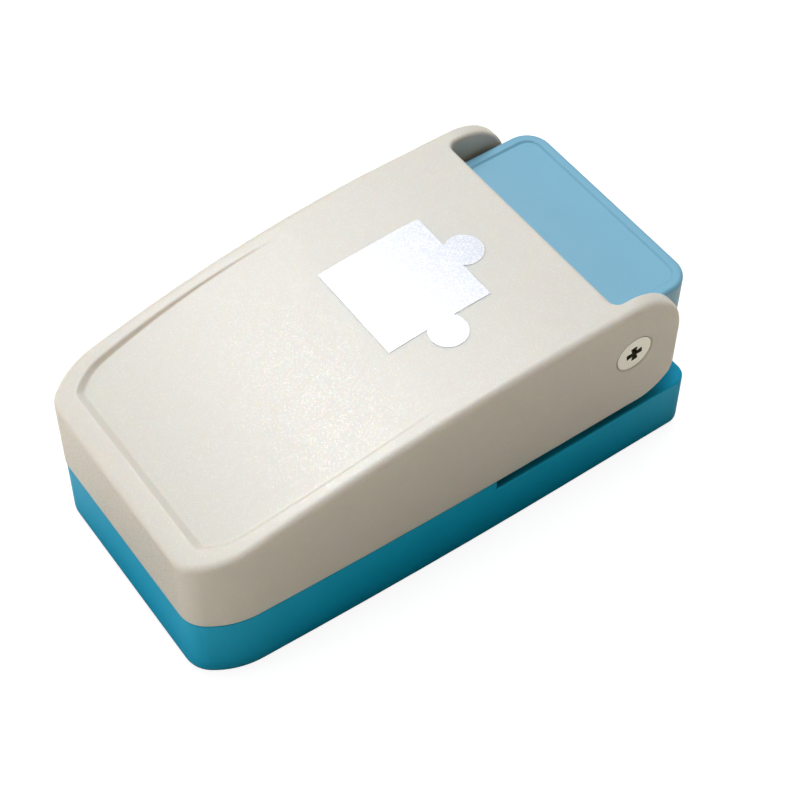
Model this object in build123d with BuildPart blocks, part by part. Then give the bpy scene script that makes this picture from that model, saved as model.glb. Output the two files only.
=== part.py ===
"""Lever punch that cuts a jigsaw piece out of paper or card.

Millimetres. +Z is up, +Y points to the back, where the paper goes in, and +X to the right.
The origin is the middle of the footprint on the table. The lever is modelled shut.
"""

import os
from math import atan2, cos, degrees, radians, sin, sqrt, tan

from build123d import *

os.makedirs("parts", exist_ok=True)

# Whole body, seen from above
body_length = 130.6
body_width = 68.0
taper_share = 0.72
front_taper = 2.3
front_corner_radius = 6.85
corner_side_radius = 19.4
corner_split = 53.0
rear_corner_radius = 6.2

# Base
foot_stand = 0.5
base_height = 18.7
base_draft = 0.75
base_rear_inset = 0.9
base_rear_radius = 4.0
throat_depth = 56.6
throat_height = 4.4
step_height = 2.9
base_wall = 3.0
base_deck = 2.4
base_edge_radius = 2.0
top_edge_radius = 0.5
cover_thickness = 2.0
fit_gap = 0.15
foot_radius = 5.0
foot_thickness = 1.5
front_foot_inset_x = 14.0
front_foot_inset_y = 26.0
rear_foot_inset_x = 12.0
rear_foot_inset_y = 11.0
front_screw_inset_x = 12.0
front_screw_inset_y = 11.0
rear_screw_inset_y = 30.6

# Lever
edge_gap = 0.5
lever_height = 32.3
lever_draft = 0.54
arch_drop = 13.0
arch_length = 93.5
lever_wall = 2.4
lever_top_thickness = 3.2
lever_rib_depth = 2.6
lever_rib_thickness = 3.0
lever_rib_x = 17.0
lever_edge_radius = 1.8
ear_thickness = 4.3
ear_upper_radius = 14.3
ear_lower_radius = 10.4
ear_reach = 13.6
notch_lead = 3.8
notch_corner_radius = 2.2
ear_edge_radius = 0.8
open_angle = 20.0

# Thumb recess in the lever's top
recess_front_margin = 5.0
recess_side_margin = 4.8
recess_length = 57.0
recess_depth = 1.2
recess_front_slope = 1.7
recess_side_slope = 0.8
recess_rear_reach = 4.0
recess_edge_radius = 0.3

# Pivot
pivot_inset = 20.5
pivot_drop = 14.3
screw_head_radius = 4.65
screw_head_sink = 0.1
screw_head_gap = 0.2
shoulder_radius = 3.0
thread_radius = 2.0
running_gap = 0.05
side_gap = 0.9
washer_thickness = 0.8
washer_radius = 5.6
bush_wall = 1.2
insert_radius = 3.5
insert_length = 8.0
boss_wall = 1.8
cross_length = 4.1
cross_width = 1.0
cross_depth = 1.4
cross_turn = -8.0

# Upper housing
housing_drop = 7.1
housing_wall = 3.4
housing_roof = 2.4
housing_foot_length = 34.0
brow_reach = 12.0
housing_screw_inset = 14.0
housing_screw_lead = 6.5
housing_screw_pitch = 12.5
housing_edge_radius = 1.0
field_margin = 2.3
field_corner_radius = 3.8
field_depth = 0.4
field_slope = 0.5

# Die set
puzzle_side = 26.4
knob_radius = 4.45
knob_reach = 2.8
die_clearance = 0.05
die_margin = 4.0
die_thickness = 3.0
die_side_margin = 10.0
seat_thickness = 2.5
chute_margin = 1.5
chute_wall = 1.8
guide_thickness = 2.5
guide_side_wall = 2.0
spacer_length = 8.0
penetration = 1.0
load_arm = 17.6
press_bar_radius = 3.0
press_bar_length = 40.0
press_gap = 0.15
carrier_thickness = 4.0
carrier_side_gap = 0.5
pad_height = 2.6
spring_closed_length = 7.0
spring_wire = 0.9
spring_radius = 3.05
spring_turns = 4
post_radius = 1.5
post_inset = 3.7
post_spacing_y = 17.0
guide_bush_wall = 1.0

# Emblem on the lever
emblem_thickness = 0.12
emblem_offset_x = -1.55
emblem_from_front = 73.8

# Lock
lock_travel = 2.8
lock_lip_depth = 2.6
lock_lip_height = 2.0
lock_width = 12.0
lock_post_half = 3.5
lock_post_depth = 3.0
lock_nose_height = 2.4
lock_plate_length = 19.0
lock_plate_thickness = 2.0
lock_pad_length = 9.0

# Fasteners
small_screw_radius = 1.5
small_head_radius = 2.6
small_screw_reach = 7.0
housing_screw_radius = 1.75
housing_head_radius = 3.4
housing_head_height = 2.6
housing_cross_length = 3.6
housing_cross_width = 0.8

# Levels, from the table up
base_bottom_z = foot_stand
cover_top_z = base_bottom_z + cover_thickness
base_top_z = base_bottom_z + base_height
shelf_z = base_top_z - step_height
lever_edge_z = base_top_z + edge_gap
throat_top_z = shelf_z + throat_height
lever_top_z = lever_edge_z + lever_height
housing_top_z = lever_top_z - housing_drop
pivot_z = lever_top_z - pivot_drop
die_bottom_z = shelf_z - die_thickness
guide_top_z = throat_top_z + guide_thickness
carrier_bottom_z = guide_top_z + spring_closed_length
carrier_top_z = carrier_bottom_z + carrier_thickness
pad_top_z = carrier_top_z + pad_height
press_bar_z = pad_top_z + press_gap + press_bar_radius
punch_bottom_z = shelf_z - penetration
roof_underside_z = housing_top_z - housing_roof

# Places along the body, front to back
front_y = -body_length / 2
rear_y = body_length / 2
taper_length = taper_share * body_length
taper_end_y = front_y + taper_length
base_rear_y = rear_y - base_rear_inset
throat_y = rear_y - throat_depth
pivot_y = rear_y - pivot_inset
arch_y = front_y + arch_length
notch_y = pivot_y - notch_lead
ear_rear_y = pivot_y + ear_reach
press_bar_y = pivot_y - load_arm
puzzle_span = puzzle_side + knob_reach + knob_radius
puzzle_x = -(knob_reach + knob_radius) / 2
puzzle_y = throat_y + die_margin + puzzle_side / 2
puzzle_rear_y = puzzle_y - puzzle_side / 2 + puzzle_span

# Places across the body
half_width = body_width / 2
ear_inner_x = half_width - ear_thickness
housing_half_width = ear_inner_x - side_gap
cavity_half_width = housing_half_width - housing_wall
carrier_half = cavity_half_width - carrier_side_gap
guide_half = housing_half_width - guide_side_wall
die_half = half_width - die_side_margin
post_x = carrier_half - post_inset

# The sides are arcs that leave the straight rear part and end in a front corner of two arcs
taper_radius = (taper_length**2 + front_taper**2) / (2 * front_taper)
taper_centre = Vector(half_width - taper_radius, taper_end_y)
corner_radius_step = corner_side_radius - front_corner_radius
corner_side_y = front_y + front_corner_radius + corner_radius_step * cos(radians(corner_split))
corner_side_away = sqrt((taper_radius - corner_side_radius) ** 2 - (taper_end_y - corner_side_y) ** 2)
corner_side_centre = Vector(taper_centre.X + corner_side_away, corner_side_y)
corner_out = Vector(sin(radians(corner_split)), -cos(radians(corner_split)))
corner_centre = corner_side_centre + corner_out * corner_radius_step
side_out = (corner_side_centre - taper_centre).normalized()

# The lever's top is an arc that starts level and drops towards the front
arch_radius = (arch_length**2 + arch_drop**2) / (2 * arch_drop)
arch_centre_z = lever_top_z - arch_radius


def arch_z(y, depth=0.0):
    """Height of the lever's top at y, or of a surface that lies depth below it."""
    if y >= arch_y:
        return lever_top_z - depth
    return arch_centre_z + sqrt((arch_radius - depth) ** 2 - (arch_y - y) ** 2)


def swing(y, z, angle):
    """Where a point of the lever is when the lever has opened by angle degrees."""
    away, above = y - pivot_y, z - pivot_z
    turn = radians(angle)
    return (
        pivot_y + away * cos(turn) + above * sin(turn),
        pivot_z + above * cos(turn) - away * sin(turn),
    )


def body_plan(inset, rear, rear_radius=0.0):
    """The body's outline from above, tapered to the front, moved in by inset, up to rear."""
    side_x = half_width - inset
    far_y = max(rear, taper_end_y) + 1.0
    side_end = taper_centre + side_out * (taper_radius - inset)
    corner_middle = corner_centre + corner_out * (front_corner_radius - inset)
    with BuildSketch() as plan:
        with BuildLine():
            Polyline((0, far_y), (0, front_y + inset), (corner_centre.X, front_y + inset))
            TangentArc((corner_centre.X, front_y + inset), corner_middle, tangent=(1, 0))
            TangentArc(corner_middle, side_end, tangent=(-corner_out.Y, corner_out.X))
            TangentArc(side_end, (side_x, taper_end_y), tangent=(-side_out.Y, side_out.X))
            Polyline((side_x, taper_end_y), (side_x, far_y), (0, far_y))
        make_face()
        mirror(about=Plane.YZ)
        with Locations((0, rear + body_length / 2)):
            Rectangle(2 * body_width, body_length, mode=Mode.SUBTRACT)
        if rear_radius > 0:
            rear_corners = plan.vertices().group_by(Axis.Y)[-1].sort_by(Axis.X)
            fillet([rear_corners[0], rear_corners[-1]], rear_radius)
    return plan.sketch


def puzzle_plan(growth=0.0):
    """A jigsaw piece with one knob at the back and one at the right, grown by growth all round."""
    side = puzzle_side + 2 * growth
    with BuildSketch() as plan:
        Rectangle(side, side)
        with Locations((0, puzzle_side / 2 + knob_reach), (puzzle_side / 2 + knob_reach, 0)):
            Circle(knob_radius + growth)
    return plan.sketch


def block(x_range, y_range, z_range, mode=Mode.ADD):
    """A box between two limits along each axis."""
    size = [high - low for low, high in (x_range, y_range, z_range)]
    middle = [(low + high) / 2 for low, high in (x_range, y_range, z_range)]
    with Locations(tuple(middle)):
        Box(*size, mode=mode)


def peg(x, y, radius, z_range, mode=Mode.ADD):
    """An upright cylinder."""
    low, high = z_range
    with Locations((x, y, low)):
        Cylinder(radius, high - low, align=(Align.CENTER, Align.CENTER, Align.MIN), mode=mode)


def flat_head_screw(x, y, low, high, radius, head_radius, head_up=False):
    """An upright flat-head screw with a cross slot, its head at the bottom or at the top."""
    cone = head_radius - radius
    head_z = high - cone if head_up else low
    lower, upper = (radius, head_radius) if head_up else (head_radius, radius)
    peg(x, y, radius, (low, high))
    with Locations((x, y, head_z)):
        Cone(lower, upper, cone, align=(Align.CENTER, Align.CENTER, Align.MIN))
    with Locations((x, y, high if head_up else low)):
        Box(2.2 * radius, 0.5 * radius, radius, mode=Mode.SUBTRACT)
        Box(0.5 * radius, 2.2 * radius, radius, mode=Mode.SUBTRACT)


def flat_head_seat(x, y, low, high, radius, head_radius, head_up=False):
    """The hole that such a screw passes through, with its cone."""
    cone = head_radius - radius
    head_z = high - cone if head_up else low
    lower, upper = (radius, head_radius) if head_up else (head_radius, radius)
    peg(x, y, radius, (low, high), mode=Mode.SUBTRACT)
    with Locations((x, y, head_z)):
        Cone(lower, upper, cone, align=(Align.CENTER, Align.CENTER, Align.MIN), mode=Mode.SUBTRACT)


def tube_x(x_range, y, z, radius, bore=0.0, mode=Mode.ADD):
    """A cylinder along X, or a tube if it has a bore."""
    with BuildSketch(Plane.YZ.offset(x_range[0])) as ring:
        with Locations((y, z)):
            Circle(radius)
            if bore > 0:
                Circle(bore, mode=Mode.SUBTRACT)
    extrude(ring.sketch, amount=x_range[1] - x_range[0], mode=mode)


# What follows from the sizes above
bar_open_y, bar_open_z = swing(press_bar_y, press_bar_z, open_angle)
stroke = bar_open_z - press_bar_z
stroke_per_radian = stroke / radians(open_angle)
print("press stroke", round(stroke, 4), "mm, per radian of the lever", round(stroke_per_radian, 4), "mm")
print("punch, lifted, clears the throat by", round(punch_bottom_z + stroke - throat_top_z, 3), "mm")

# Plans
cover_inset = base_wall + fit_gap
base_inner_radius = max(base_rear_radius - base_wall, 0.5)
lever_cavity_rear_y = notch_y - notch_corner_radius - lever_wall
base_lean = base_height * tan(radians(base_draft))
lever_lean = lever_height * tan(radians(lever_draft))
outer_plan = body_plan(0.0, base_rear_y, base_rear_radius)
outer_top_plan = body_plan(base_lean, base_rear_y - base_lean, base_rear_radius - base_lean)
base_cavity_plan = body_plan(base_wall, base_rear_y - base_wall, base_inner_radius)
cover_plan = body_plan(cover_inset, base_rear_y - cover_inset, base_inner_radius)
lever_plan = body_plan(0.0, ear_rear_y + 1.0)
lever_top_plan = body_plan(lever_lean, ear_rear_y + 1.0)
lever_cavity_plan = body_plan(lever_wall, lever_cavity_rear_y)
piece_plan = puzzle_plan()
die_hole_plan = puzzle_plan(die_clearance)

# Die set
die_front_y = throat_y - spacer_length
die_rear_y = puzzle_rear_y + die_margin
guide_rear_y = rear_y - housing_wall - fit_gap
punch_front_y = puzzle_y - puzzle_side / 2
chute_half = puzzle_span / 2 + die_clearance + chute_margin
chute_front_y = punch_front_y - chute_margin
chute_rear_y = puzzle_rear_y + chute_margin
seat_bottom_z = die_bottom_z - seat_thickness
post_places = [
    (side * post_x, press_bar_y + end * post_spacing_y / 2) for side in (-1, 1) for end in (-1, 1)
]
post_top_z = carrier_top_z + stroke + 0.5
guide_bush_radius = post_radius + running_gap + guide_bush_wall
set_screw_places = [(x, throat_y - spacer_length / 2) for x in (-die_half / 1.5, 0.0, die_half / 1.5)]
die_screw_x = die_half - small_head_radius - 0.2
die_screw_y = die_rear_y - small_head_radius - 1.0
die_screw_places = [(-die_screw_x, die_screw_y), (die_screw_x, die_screw_y)]
guide_screw_y = guide_rear_y - small_head_radius - 2.4
guide_screw_places = [(-guide_half / 1.5, guide_screw_y), (guide_half / 1.5, guide_screw_y)]
guide_boss_radius = small_screw_radius + 2.5

# Press pad, punch screws and the carrier's outline
pad_half_width = 12.0
pad_half_length = press_bar_radius + 0.6
punch_screw_away = pad_half_length + small_head_radius + 1.2
punch_screw_places = [(puzzle_x, press_bar_y - punch_screw_away), (puzzle_x, press_bar_y + punch_screw_away)]
punch_screw_end_z = carrier_bottom_z - small_screw_reach
boss_radius = insert_radius + boss_wall
boss_length = insert_length + 2.0
carrier_front_y = punch_front_y - 1.0
carrier_rear_y = pivot_y - boss_radius - 0.5
tongue_half = housing_half_width - boss_length - 0.3
tongue_rear_y = puzzle_rear_y + 0.5
stop_pad_z = roof_underside_z - stroke - 0.1
stop_pad_y = (carrier_rear_y, tongue_rear_y - 0.5)

# Upper housing: where its slopes, its roof window and its cavities lie
foot_front_y = throat_y - housing_foot_length
brow_y = foot_front_y + brow_reach
knee_y = throat_y - 2.0
foot_top_z = base_top_z + 6.8
brow_z = housing_top_z - 8.8
eye_radius = press_bar_radius + 2.0
window_half = press_bar_length / 2 + 1.0
window_front_y = press_bar_y - eye_radius - 2.2
window_rear_y = bar_open_y + eye_radius + 0.9
foot_cavity_front_y = foot_front_y + housing_roof
foot_cavity_rear_y = die_front_y - fit_gap - housing_roof
cavity_front_y = die_front_y + housing_roof
cavity_rear_y = guide_rear_y - 1.4
housing_screw_x = half_width - housing_screw_inset
housing_screw_y = [foot_front_y + housing_screw_lead + pitch for pitch in (0.0, housing_screw_pitch)]
housing_screw_places = [(side * housing_screw_x, y) for side in (-1, 1) for y in housing_screw_y]
housing_screw_seat_z = base_top_z - 7.2
housing_screw_top_z = base_top_z + 6.8
housing_boss_radius = housing_screw_radius + 2.25

# Base cover: where its screws and feet lie
cover_boss_radius = small_screw_radius + 1.7
rear_screw_x = half_width - base_wall - cover_boss_radius - 0.2
front_screw_x = half_width - front_screw_inset_x
front_screw_y = front_y + front_screw_inset_y
rear_screw_y = rear_y - rear_screw_inset_y
front_screw_places = [(side * front_screw_x, front_screw_y) for side in (-1, 1)]
rear_screw_places = [(side * rear_screw_x, rear_screw_y) for side in (-1, 1)]
cover_screw_places = front_screw_places + rear_screw_places
front_foot = (half_width - front_foot_inset_x, front_y + front_foot_inset_y)
rear_foot = (half_width - rear_foot_inset_x, rear_y - rear_foot_inset_y)
foot_places = [(side * x, y) for x, y in (front_foot, rear_foot) for side in (-1, 1)]

# Lock: it is drawn open, 0.6 mm clear of the lever's lip
lock_lip_z = lever_edge_z + 1.3
lock_nose_z = lock_lip_z + lock_lip_height + 0.3
lock_lip_y = front_y + lever_wall + lock_lip_depth
lock_nose_y = lock_lip_y + 0.6
lock_post_y = lock_nose_y + 2.4
lock_post_rear_y = lock_post_y + lock_post_depth
lock_plate_half = lock_width / 2 + 1.0
lock_plate_front_y = lock_post_y - 2.0
lock_plate_rear_y = lock_plate_front_y + lock_plate_length
lock_plate_z = cover_top_z + 0.1
lock_plate_top_z = lock_plate_z + lock_plate_thickness
lock_pad_front_y = lock_plate_front_y + 7.0
lock_pad_rear_y = lock_pad_front_y + lock_pad_length

# Base shell: open below, stepped down at the back for the throat
with BuildPart() as base_shell:
    with BuildSketch(Plane.XY.offset(base_bottom_z)):
        add(outer_plan)
    with BuildSketch(Plane.XY.offset(base_top_z)):
        add(outer_top_plan)
    loft()
    block((-body_width, body_width), (throat_y, rear_y + 1), (shelf_z, base_top_z + 1), Mode.SUBTRACT)
    fillet(base_shell.faces().sort_by(Axis.Z)[0].edges(), base_edge_radius)
    fillet(base_shell.faces().filter_by(Plane.XY).sort_by(Axis.Z)[-1].edges(), top_edge_radius)
    shelf_edges = base_shell.edges().filter_by_position(Axis.Z, shelf_z - 0.01, shelf_z + 0.01)
    fillet(shelf_edges.filter_by(lambda e: e.center().Y > throat_y + 1), top_edge_radius)
    with BuildSketch(Plane.XY.offset(base_bottom_z)):
        add(base_cavity_plan)
    extrude(amount=shelf_z - base_deck - base_bottom_z, mode=Mode.SUBTRACT)
    with BuildSketch(Plane.XY.offset(shelf_z - base_deck)):
        add(base_cavity_plan)
        with Locations((0, rear_y)):
            Rectangle(body_width, 2 * (rear_y - throat_y + base_deck), mode=Mode.SUBTRACT)
    extrude(amount=step_height, mode=Mode.SUBTRACT)
    pocket_half = die_half + fit_gap
    pocket_y = (die_front_y - fit_gap, die_rear_y + fit_gap)
    seat_half = pocket_half + base_deck
    seat_y = (pocket_y[0] - base_deck, pocket_y[1] + base_deck)
    block((-seat_half, seat_half), seat_y, (seat_bottom_z, shelf_z - 1.0))
    block((-seat_half, seat_half), (seat_y[0], throat_y - 0.6), (seat_bottom_z, base_top_z - 1.0))
    block((-pocket_half, pocket_half), pocket_y, (die_bottom_z, base_top_z + 1), Mode.SUBTRACT)
    chute_outer = chute_half + chute_wall
    chute_outer_y = (chute_front_y - chute_wall, chute_rear_y + chute_wall)
    block((-chute_outer, chute_outer), chute_outer_y, (cover_top_z, seat_bottom_z + 0.5))
    for x, y in housing_screw_places:
        peg(x, y, housing_head_radius + 1.2, (cover_top_z, base_top_z - 1.0))
    for x, y in front_screw_places:
        peg(x, y, cover_boss_radius, (cover_top_z, base_top_z - 1.0))
    for x, y in rear_screw_places:
        peg(x, y, cover_boss_radius, (cover_top_z, shelf_z - 1.0))
    for x, y in die_screw_places:
        peg(x, y, small_screw_radius + 1.5, (seat_bottom_z - 5.0, seat_bottom_z + 0.5))
    rib_y = (front_y + base_wall - 0.5, lock_plate_rear_y + 2.0)
    for side in (-1, 1):
        guide_x = sorted((side * (lock_plate_half + 0.15), side * (lock_plate_half + 1.65)))
        keeper_x = sorted((side * (lock_post_half + 1.0), side * (lock_post_half + 2.5)))
        block(guide_x, rib_y, (cover_top_z + 0.1, base_top_z - 1.0))
        block(keeper_x, rib_y, (lock_plate_top_z + fit_gap, base_top_z - 1.0))
    chute_y = (chute_front_y, chute_rear_y)
    block((-chute_half, chute_half), chute_y, (base_bottom_z, die_bottom_z + 0.5), Mode.SUBTRACT)
    for x, y in housing_screw_places:
        peg(x, y, housing_head_radius + 0.3, (base_bottom_z, housing_screw_seat_z), Mode.SUBTRACT)
        peg(x, y, housing_screw_radius + fit_gap, (base_bottom_z, base_top_z + 1), Mode.SUBTRACT)
    for x, y in cover_screw_places:
        peg(x, y, small_screw_radius, (base_bottom_z, cover_top_z + small_screw_reach + 1.0), Mode.SUBTRACT)
    for x, y in die_screw_places:
        peg(x, y, small_screw_radius, (seat_bottom_z - 4.0, die_bottom_z + 1), Mode.SUBTRACT)
    slot_half = lock_post_half + 0.3
    slot_y = (lock_post_y - lock_travel - 0.3, lock_post_rear_y + 0.3)
    block((-slot_half, slot_half), slot_y, (shelf_z, base_top_z + 1), Mode.SUBTRACT)
base_shell.part.label = "base_shell"
export_step(base_shell.part, "parts/base_shell.step")

# Base cover: closes the base from below, open under the chute and at the lock's finger pad
with BuildPart() as base_cover:
    with BuildSketch(Plane.XY.offset(base_bottom_z)):
        add(cover_plan)
    extrude(amount=cover_thickness)
    cover_cut_z = (base_bottom_z - 1, cover_top_z + 1)
    block((-chute_half, chute_half), chute_y, cover_cut_z, Mode.SUBTRACT)
    pad_slot_half = lock_width / 2 + 0.2
    pad_slot_y = (lock_pad_front_y - lock_travel - 0.3, lock_pad_rear_y + 0.3)
    block((-pad_slot_half, pad_slot_half), pad_slot_y, cover_cut_z, Mode.SUBTRACT)
    for x, y in cover_screw_places:
        flat_head_seat(x, y, base_bottom_z, cover_top_z, small_screw_radius, small_head_radius)
    for x, y in foot_places:
        peg(x, y, foot_radius + fit_gap, (base_bottom_z - 1, foot_thickness), Mode.SUBTRACT)
base_cover.part.label = "base_cover"
export_step(base_cover.part, "parts/base_cover.step")

# Rubber feet, seated in the cover's recesses
with BuildPart() as rubber_feet:
    for x, y in foot_places:
        peg(x, y, foot_radius, (0.0, foot_thickness))
    chamfer(rubber_feet.edges().filter_by_position(Axis.Z, -0.01, 0.01), 0.3)
rubber_feet.part.label = "rubber_feet"
export_step(rubber_feet.part, "parts/rubber_feet.step")

# Cover screws, from below
with BuildPart() as cover_screws:
    for x, y in cover_screw_places:
        screw_end_z = cover_top_z + small_screw_reach
        flat_head_screw(x, y, base_bottom_z, screw_end_z, small_screw_radius, small_head_radius)
cover_screws.part.label = "cover_screws"
export_step(cover_screws.part, "parts/cover_screws.step")

# Die plate, flush with the throat shelf
with BuildPart() as die_plate:
    block((-die_half, die_half), (die_front_y, die_rear_y), (die_bottom_z, shelf_z))
    with BuildSketch(Plane.XY.offset(die_bottom_z)):
        with Locations((puzzle_x, puzzle_y)):
            add(die_hole_plan)
    extrude(amount=die_thickness, mode=Mode.SUBTRACT)
    for x, y in set_screw_places:
        flat_head_seat(x, y, die_bottom_z, shelf_z, small_screw_radius, small_head_radius)
    for x, y in die_screw_places:
        flat_head_seat(x, y, die_bottom_z, shelf_z, small_screw_radius, small_head_radius, True)
die_plate.part.label = "die_plate"
export_step(die_plate.part, "parts/die_plate.step")

# Screws that hold the die plate on its seat
with BuildPart() as die_screws:
    for x, y in die_screw_places:
        flat_head_screw(x, y, seat_bottom_z - 3.5, shelf_z, small_screw_radius, small_head_radius, True)
die_screws.part.label = "die_screws"
export_step(die_screws.part, "parts/die_screws.step")

# Throat spacer: the end of the throat, where the paper stops
with BuildPart() as throat_spacer:
    block((-die_half, die_half), (die_front_y, throat_y), (shelf_z, throat_top_z))
    for x, y in set_screw_places:
        peg(x, y, small_screw_radius, (shelf_z, throat_top_z), Mode.SUBTRACT)
throat_spacer.part.label = "throat_spacer"
export_step(throat_spacer.part, "parts/throat_spacer.step")

# Guide plate: the throat's roof, which keeps the punch square to the die
with BuildPart() as guide_plate:
    block((-guide_half, guide_half), (die_front_y, guide_rear_y), (throat_top_z, guide_top_z))
    with BuildSketch(Plane.XY.offset(throat_top_z)):
        with Locations((puzzle_x, puzzle_y)):
            add(die_hole_plan)
    extrude(amount=guide_thickness, mode=Mode.SUBTRACT)
    for x, y in set_screw_places:
        peg(x, y, small_screw_radius, (throat_top_z, guide_top_z), Mode.SUBTRACT)
    for x, y in post_places:
        peg(x, y, post_radius, (throat_top_z, guide_top_z), Mode.SUBTRACT)
    for x, y in guide_screw_places:
        flat_head_seat(x, y, throat_top_z, guide_top_z, small_screw_radius, small_head_radius)
guide_plate.part.label = "guide_plate"
export_step(guide_plate.part, "parts/guide_plate.step")

# Screws through die plate and spacer into the guide plate, heads down
with BuildPart() as die_set_screws:
    for x, y in set_screw_places:
        flat_head_screw(x, y, die_bottom_z, guide_top_z - 0.2, small_screw_radius, small_head_radius)
die_set_screws.part.label = "die_set_screws"
export_step(die_set_screws.part, "parts/die_set_screws.step")

# Screws that hold the guide plate up in the housing, heads down
with BuildPart() as guide_plate_screws:
    for x, y in guide_screw_places:
        screw_end_z = guide_top_z + small_screw_reach
        flat_head_screw(x, y, throat_top_z, screw_end_z, small_screw_radius, small_head_radius)
guide_plate_screws.part.label = "guide_plate_screws"
export_step(guide_plate_screws.part, "parts/guide_plate_screws.step")

# Guide posts, pressed into the guide plate
with BuildPart() as guide_posts:
    for x, y in post_places:
        peg(x, y, post_radius, (throat_top_z + 0.2, post_top_z))
guide_posts.part.label = "guide_posts"
export_step(guide_posts.part, "parts/guide_posts.step")

# Guide bushes in the carrier, running on the posts
with BuildPart() as guide_bushes:
    for x, y in post_places:
        peg(x, y, guide_bush_radius, (carrier_bottom_z, carrier_top_z))
    for x, y in post_places:
        peg(x, y, post_radius + running_gap, (carrier_bottom_z, carrier_top_z), Mode.SUBTRACT)
guide_bushes.part.label = "guide_bushes"
export_step(guide_bushes.part, "parts/guide_bushes.step")

# Return springs round the posts, drawn compressed
with BuildPart() as return_springs:
    coil_height = spring_closed_length - spring_wire
    with BuildLine(Plane.XY.offset(guide_top_z + spring_wire / 2)):
        coil = Helix(coil_height / spring_turns, coil_height, spring_radius)
    with BuildSketch(Plane(coil @ 0, z_dir=coil % 0)):
        Circle(spring_wire / 2)
    sweep(path=coil)
one_spring = return_springs.part
with BuildPart() as return_springs:
    with Locations(*[(x, y, 0.0) for x, y in post_places]):
        add(one_spring)
return_springs.part.label = "return_springs"
export_step(return_springs.part, "parts/return_springs.step")
print("coil gap", round(coil_height / spring_turns - spring_wire, 3), "mm")

# Punch: the jigsaw piece, standing in guide plate and die at the end of its stroke
with BuildPart() as punch:
    with BuildSketch(Plane.XY.offset(punch_bottom_z)):
        with Locations((puzzle_x, puzzle_y)):
            add(piece_plan)
    extrude(amount=carrier_bottom_z - punch_bottom_z)
    for x, y in punch_screw_places:
        peg(x, y, small_screw_radius, (punch_screw_end_z - 1.0, carrier_bottom_z), Mode.SUBTRACT)
punch.part.label = "punch"
export_step(punch.part, "parts/punch.step")

# Punch carrier: plate with the pad that the press bar pushes and the pad that stops it at the roof
with BuildPart() as punch_carrier:
    plate_z = (carrier_bottom_z, carrier_top_z)
    block((-carrier_half, carrier_half), (carrier_front_y, carrier_rear_y), plate_z)
    block((-tongue_half, tongue_half), (carrier_front_y, tongue_rear_y), plate_z)
    pad_y = (press_bar_y - pad_half_length, press_bar_y + pad_half_length)
    block((-pad_half_width, pad_half_width), pad_y, (carrier_bottom_z, pad_top_z))
    block((-pad_half_width, pad_half_width), stop_pad_y, (carrier_bottom_z, stop_pad_z))
    for x, y in post_places:
        peg(x, y, guide_bush_radius, plate_z, Mode.SUBTRACT)
    for x, y in punch_screw_places:
        flat_head_seat(x, y, carrier_bottom_z, carrier_top_z, small_screw_radius, small_head_radius, True)
punch_carrier.part.label = "punch_carrier"
export_step(punch_carrier.part, "parts/punch_carrier.step")

# Screws that hold the punch to the carrier
with BuildPart() as punch_screws:
    for x, y in punch_screw_places:
        flat_head_screw(x, y, punch_screw_end_z, carrier_top_z, small_screw_radius, small_head_radius, True)
punch_screws.part.label = "punch_screws"
export_step(punch_screws.part, "parts/punch_screws.step")

# Room inside the housing's foot, less the bosses for the housing screws
with BuildPart() as foot_cavity:
    with BuildSketch(Plane.YZ):
        with BuildLine():
            Polyline(
                (foot_cavity_front_y, base_top_z),
                (foot_cavity_rear_y, base_top_z),
                (foot_cavity_rear_y, brow_z),
                (brow_y, brow_z - 1.2 * housing_roof),
                (foot_cavity_front_y, foot_top_z - housing_roof),
                close=True,
            )
        make_face()
    extrude(amount=cavity_half_width, both=True)
    for x, y in housing_screw_places:
        peg(x, y, housing_boss_radius, (base_top_z, housing_top_z), Mode.SUBTRACT)

# Room for punch and carrier, less the pivot bosses and the bosses for the guide plate's screws
with BuildPart() as punch_cavity:
    with BuildSketch(Plane.YZ):
        with BuildLine():
            Polyline(
                (cavity_front_y, guide_top_z),
                (cavity_rear_y, guide_top_z),
                (cavity_rear_y, roof_underside_z),
                (knee_y + 1.0, roof_underside_z),
                (cavity_front_y, roof_underside_z - 2.4),
                close=True,
            )
        make_face()
    extrude(amount=cavity_half_width, both=True)
    for x, y in guide_screw_places:
        peg(x, y, guide_boss_radius, (guide_top_z, housing_top_z), Mode.SUBTRACT)
    tube_x((housing_half_width - boss_length, half_width), pivot_y, pivot_z, boss_radius, mode=Mode.SUBTRACT)
    tube_x((-half_width, boss_length - housing_half_width), pivot_y, pivot_z, boss_radius, mode=Mode.SUBTRACT)

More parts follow.
